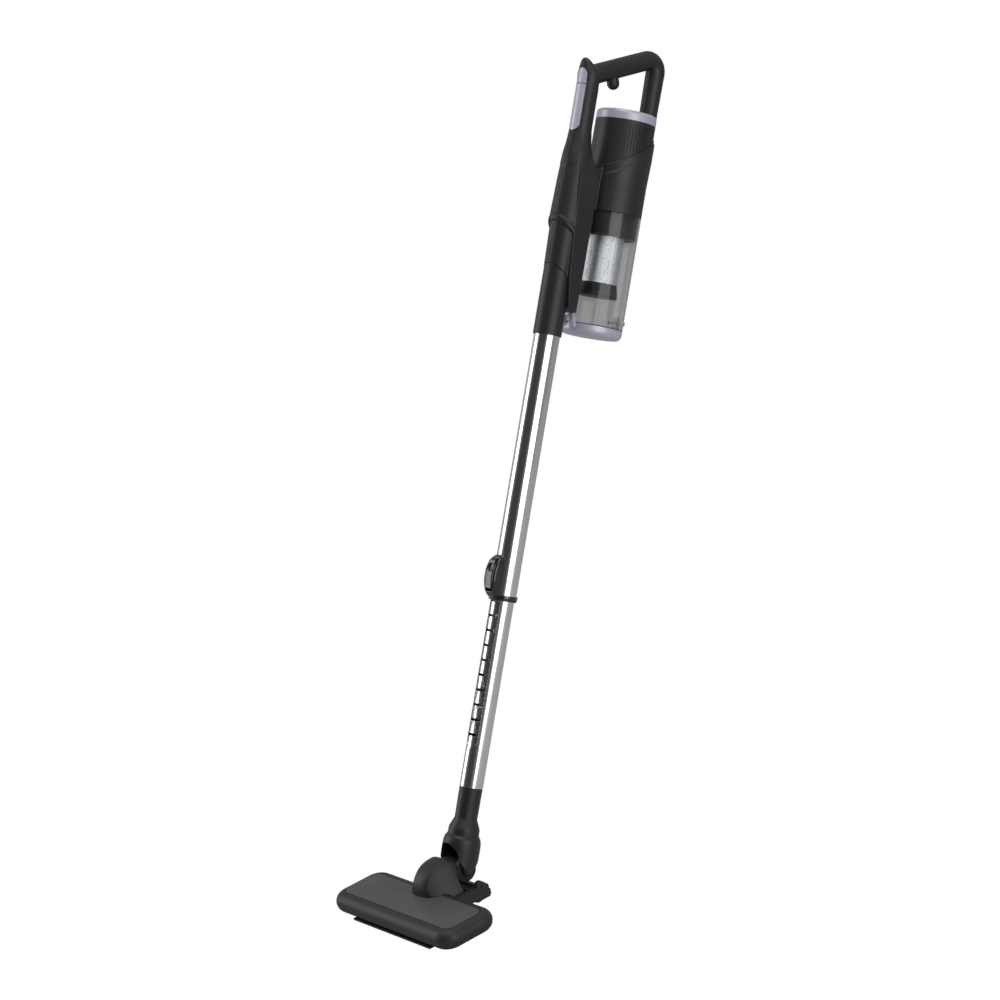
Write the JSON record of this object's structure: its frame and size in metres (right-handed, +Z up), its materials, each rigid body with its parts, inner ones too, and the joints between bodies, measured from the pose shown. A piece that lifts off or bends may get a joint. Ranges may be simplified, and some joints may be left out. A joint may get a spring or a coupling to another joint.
{
  "type": "cordless stick vacuum cleaner",
  "caption": "Upright stick vacuum: wide floor head on a swivel neck, telescopic tube with clamp, clear side cup with hinged lid, slanted motor housing and looped handle with trigger.",
  "frame": {"origin": "centre of the floor head on the floor, on the sole's rear glide rail", "axes": "+X across the head, to the right when looking at the head's front edge from in front; +Y from the head's front edge to its rear, where the stick leans; +Z up. The stick lies in the plane X = 0 and leans back 26.25 degrees from +Z towards +Y."},
  "size_m": [0.252, 0.729, 1.0251],
  "materials": {
    "shell_black": "satin, moulded",
    "gloss_black": "high gloss",
    "inner_black": "matt, moulded",
    "lavender": "satin metallic paint",
    "tube_metal": "polished",
    "steel": "turned",
    "mesh_steel": "perforated sheet",
    "clear_cup": "clear, polished",
    "seal_rubber": "soft",
    "motor_metal": "cast",
    "impeller_metal": "machined",
    "cells": "shrink wrapped",
    "board": "lacquered",
    "switch": "matt",
    "filter_cloth": "pleated",
    "bristle": "tufted"
  },
  "bodies": {
    "handset": {"housing_right": "shell_black", "housing_left": "shell_black", "main_shell": "shell_black", "handle_right": "shell_black", "handle_left": "shell_black", "housing_screws": "steel", "tube_socket": "shell_black", "inlet_duct": "inner_black", "status_strip": "lavender", "battery_pack": "cells", "control_board": "board", "charge_jack": "inner_black", "trigger_switch": "switch", "motor_bulkhead": "inner_black", "motor_body": "motor_metal", "motor_mounts": "seal_rubber", "motor_cover": "shell_black", "exhaust_filter": "filter_cloth", "exhaust_ring": "lavender", "exhaust_grille": "inner_black"},
    "trigger": {"trigger": "shell_black"},
    "mode_button": {"mode_button": "lavender"},
    "release": {"socket_button": "shell_black"},
    "impeller": {"impeller": "impeller_metal"},
    "cup": {"dust_cup": "clear_cup", "cup_seal": "seal_rubber", "cyclone_head": "inner_black", "mesh_filter": "mesh_steel", "cyclone_skirt": "inner_black", "fine_filter": "filter_cloth", "hinge_pin": "steel", "latch_pin": "steel"},
    "lid": {"cup_lid": "lavender", "lid_seal": "seal_rubber"},
    "latch": {"lid_latch": "gloss_black"},
    "upper": {"upper_tube": "tube_metal", "clamp_body": "gloss_black", "guide_bush": "inner_black", "rocker_pin": "steel"},
    "rocker": {"clamp_rocker": "gloss_black"},
    "lower": {"lower_tube": "tube_metal", "slider_ring": "inner_black", "neck_yoke": "shell_black", "pivot_pins": "steel"},
    "collar": {"swivel_collar": "shell_black", "collar_clip": "shell_black"},
    "head": {"neck_dome": "shell_black", "head_panel": "shell_black", "head_shell": "shell_black", "sole_plate": "inner_black", "bristle_strips": "bristle", "rear_bracket": "shell_black", "rear_axle": "steel", "roller_pins": "steel", "head_screws": "steel"},
    "wheel_r": {"wheel_right": "seal_rubber"},
    "wheel_l": {"wheel_left": "seal_rubber"},
    "roller_r": {"roller_right": "seal_rubber"},
    "roller_l": {"roller_left": "seal_rubber"}
  },
  "joints": [
    {"name": "trigger_pull", "type": "slide", "parent": "handset", "child": "trigger", "axis": [0, 0.0393, 0.9992], "range_m": [0, 0.004], "stiffness_N_per_m": 300, "springref_m": -0.002},
    {"name": "mode_press", "type": "slide", "parent": "handset", "child": "mode_button", "axis": [0, 0.8969, -0.4423], "range_m": [0, 0.0008], "stiffness_N_per_m": 900, "springref_m": -0.0008},
    {"name": "tube_release", "type": "slide", "parent": "handset", "child": "release", "axis": [0, 0.4423, 0.8969], "range_m": [0, 0.006], "stiffness_N_per_m": 200, "springref_m": -0.003},
    {"name": "impeller_spin", "type": "hinge", "parent": "handset", "child": "impeller", "pos_m": [0, 0.57103, 0.86081], "axis": [0, 0.4423, 0.8969], "continuous": true},
    {"name": "cup_slide", "type": "slide", "parent": "handset", "child": "cup", "axis": [0, -0.4423, -0.8969], "range_m": [0, 0.06]},
    {"name": "lid_hinge", "type": "hinge", "parent": "cup", "child": "lid", "pos_m": [0, 0.4415, 0.70169], "axis": [-1, 0, 0], "range_deg": [0, 40]},
    {"name": "latch_press", "type": "hinge", "parent": "cup", "child": "latch", "pos_m": [0, 0.524, 0.66324], "axis": [1, 0, 0], "range_deg": [0, 8], "stiffness_Nm_per_rad": 0.1, "springref_deg": -5.73},
    {"name": "tube_pull", "type": "slide", "parent": "handset", "child": "upper", "axis": [0, -0.4423, -0.8969], "range_m": [0, 0.055]},
    {"name": "clamp_press", "type": "hinge", "parent": "upper", "child": "rocker", "pos_m": [0, 0.23323, 0.39966], "axis": [-1, 0, 0], "range_deg": [0, 6], "stiffness_Nm_per_rad": 0.15, "springref_deg": -5.73},
    {"name": "tube_telescope", "type": "slide", "parent": "upper", "child": "lower", "axis": [0, 0.4423, 0.8969], "range_m": [-0.06, 0.195]},
    {"name": "neck_pitch", "type": "hinge", "parent": "lower", "child": "collar", "pos_m": [0, 0.0835, 0.042], "axis": [1, 0, 0], "range_deg": [-24, 52]},
    {"name": "head_swivel", "type": "hinge", "parent": "collar", "child": "head", "pos_m": [0, 0.0835, 0.042], "axis": [0, 1, 0], "range_deg": [-50, 50]},
    {"name": "wheel_spin_right", "type": "hinge", "parent": "head", "child": "wheel_r", "pos_m": [0.032, 0.082, 0.011], "axis": [1, 0, 0], "continuous": true},
    {"name": "wheel_spin_left", "type": "hinge", "parent": "head", "child": "wheel_l", "pos_m": [-0.032, 0.082, 0.011], "axis": [1, 0, 0], "continuous": true},
    {"name": "roller_spin_right", "type": "hinge", "parent": "head", "child": "roller_r", "pos_m": [0.092, -0.0305, 0.005], "axis": [1, 0, 0], "continuous": true},
    {"name": "roller_spin_left", "type": "hinge", "parent": "head", "child": "roller_l", "pos_m": [-0.092, -0.0305, 0.005], "axis": [1, 0, 0], "continuous": true}
  ]
}
